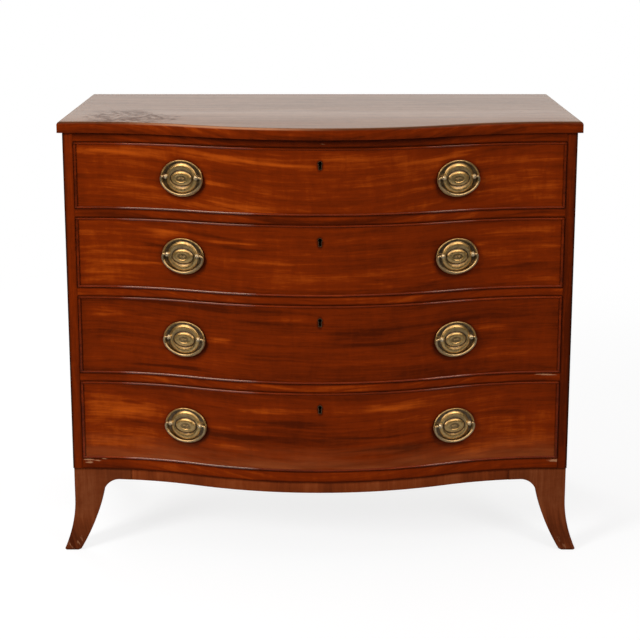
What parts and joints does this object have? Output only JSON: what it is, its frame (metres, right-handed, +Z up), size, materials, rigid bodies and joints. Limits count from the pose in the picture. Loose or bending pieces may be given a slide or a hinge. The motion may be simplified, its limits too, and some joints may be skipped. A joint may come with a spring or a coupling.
{
  "type": "chest of drawers",
  "caption": "Serpentine-front mahogany chest of graduated drawers on splayed bracket feet, with cockbeaded drawer fronts, oval brass bail handles and keyhole locks.",
  "frame": {"origin": "middle of the footprint's bounding box, on the floor", "axes": "+X along the width, +Y from the bowed front to the back, +Z up; the drawers open along -Y"},
  "size_m": [1.085, 0.606, 0.913],
  "materials": {
    "mahogany": "polished red-brown mahogany",
    "oak": "dry unpolished oak",
    "pine": "aged unpolished pine",
    "brass": "antique brass with dark recesses",
    "steel": "dull iron"
  },
  "bodies": {
    "case": {"top": "mahogany", "top_screws": "steel", "top_rail": "mahogany", "drawer_rails": "mahogany", "bottom_rail": "mahogany", "dust_boards": "pine", "left_side": "mahogany", "right_side": "mahogany", "corner_stiles": "mahogany", "back_boards": "pine", "back_top_rail": "pine", "case_bottom": "pine", "drawer_runners": "pine", "drawer_stops": "pine", "apron": "mahogany", "left_front_foot": "mahogany", "right_front_foot": "mahogany", "left_back_foot": "mahogany", "right_back_foot": "mahogany", "foot_blocks": "pine"},
    "drawer_1": {"drawer_1_front": "mahogany", "drawer_1_linings": "oak", "drawer_1_bottom": "oak", "drawer_1_cockbeads": "mahogany", "drawer_1_handle_plates": "brass", "drawer_1_handle_posts": "brass", "drawer_1_lock": "brass"},
    "drawer_1_bolt": {"drawer_1_lock_bolt": "brass"},
    "drawer_1_left_handle": {"drawer_1_left_bail": "brass"},
    "drawer_1_right_handle": {"drawer_1_right_bail": "brass"},
    "drawer_2": {"drawer_2_front": "mahogany", "drawer_2_linings": "oak", "drawer_2_bottom": "oak", "drawer_2_cockbeads": "mahogany", "drawer_2_handle_plates": "brass", "drawer_2_handle_posts": "brass", "drawer_2_lock": "brass"},
    "drawer_2_bolt": {"drawer_2_lock_bolt": "brass"},
    "drawer_2_left_handle": {"drawer_2_left_bail": "brass"},
    "drawer_2_right_handle": {"drawer_2_right_bail": "brass"},
    "drawer_3": {"drawer_3_front": "mahogany", "drawer_3_linings": "oak", "drawer_3_bottom": "oak", "drawer_3_cockbeads": "mahogany", "drawer_3_handle_plates": "brass", "drawer_3_handle_posts": "brass", "drawer_3_lock": "brass"},
    "drawer_3_bolt": {"drawer_3_lock_bolt": "brass"},
    "drawer_3_left_handle": {"drawer_3_left_bail": "brass"},
    "drawer_3_right_handle": {"drawer_3_right_bail": "brass"},
    "drawer_4": {"drawer_4_front": "mahogany", "drawer_4_linings": "oak", "drawer_4_bottom": "oak", "drawer_4_cockbeads": "mahogany", "drawer_4_handle_plates": "brass", "drawer_4_handle_posts": "brass", "drawer_4_lock": "brass"},
    "drawer_4_bolt": {"drawer_4_lock_bolt": "brass"},
    "drawer_4_left_handle": {"drawer_4_left_bail": "brass"},
    "drawer_4_right_handle": {"drawer_4_right_bail": "brass"}
  },
  "joints": [
    {"name": "drawer_1_slide", "type": "slide", "parent": "case", "child": "drawer_1", "axis": [0, -1, 0], "range_m": [0, 0.36]},
    {"name": "handle_1_left_swing", "type": "hinge", "parent": "drawer_1", "child": "drawer_1_left_handle", "pos_m": [-0.27933, -0.22726, 0.805], "axis": [-0.9513, 0.3083, 0], "range_deg": [0, 180]},
    {"name": "handle_1_right_swing", "type": "hinge", "parent": "drawer_1", "child": "drawer_1_right_handle", "pos_m": [0.27933, -0.22726, 0.805], "axis": [-0.9513, -0.3083, 0], "range_deg": [0, 180]},
    {"name": "lock_1_bolt_throw", "type": "slide", "parent": "drawer_1", "child": "drawer_1_bolt", "axis": [0, 0, 1], "range_m": [0, 0.008]},
    {"name": "drawer_2_slide", "type": "slide", "parent": "case", "child": "drawer_2", "axis": [0, -1, 0], "range_m": [0, 0.36]},
    {"name": "handle_2_left_swing", "type": "hinge", "parent": "drawer_2", "child": "drawer_2_left_handle", "pos_m": [-0.27933, -0.22726, 0.645], "axis": [-0.9513, 0.3083, 0], "range_deg": [0, 180]},
    {"name": "handle_2_right_swing", "type": "hinge", "parent": "drawer_2", "child": "drawer_2_right_handle", "pos_m": [0.27933, -0.22726, 0.645], "axis": [-0.9513, -0.3083, 0], "range_deg": [0, 180]},
    {"name": "lock_2_bolt_throw", "type": "slide", "parent": "drawer_2", "child": "drawer_2_bolt", "axis": [0, 0, 1], "range_m": [0, 0.008]},
    {"name": "drawer_3_slide", "type": "slide", "parent": "case", "child": "drawer_3", "axis": [0, -1, 0], "range_m": [0, 0.36]},
    {"name": "handle_3_left_swing", "type": "hinge", "parent": "drawer_3", "child": "drawer_3_left_handle", "pos_m": [-0.27933, -0.22726, 0.471], "axis": [-0.9513, 0.3083, 0], "range_deg": [0, 180]},
    {"name": "handle_3_right_swing", "type": "hinge", "parent": "drawer_3", "child": "drawer_3_right_handle", "pos_m": [0.27933, -0.22726, 0.471], "axis": [-0.9513, -0.3083, 0], "range_deg": [0, 180]},
    {"name": "lock_3_bolt_throw", "type": "slide", "parent": "drawer_3", "child": "drawer_3_bolt", "axis": [0, 0, 1], "range_m": [0, 0.008]},
    {"name": "drawer_4_slide", "type": "slide", "parent": "case", "child": "drawer_4", "axis": [0, -1, 0], "range_m": [0, 0.36]},
    {"name": "handle_4_left_swing", "type": "hinge", "parent": "drawer_4", "child": "drawer_4_left_handle", "pos_m": [-0.27933, -0.22726, 0.286], "axis": [-0.9513, 0.3083, 0], "range_deg": [0, 180]},
    {"name": "handle_4_right_swing", "type": "hinge", "parent": "drawer_4", "child": "drawer_4_right_handle", "pos_m": [0.27933, -0.22726, 0.286], "axis": [-0.9513, -0.3083, 0], "range_deg": [0, 180]},
    {"name": "lock_4_bolt_throw", "type": "slide", "parent": "drawer_4", "child": "drawer_4_bolt", "axis": [0, 0, 1], "range_m": [0, 0.008]}
  ]
}
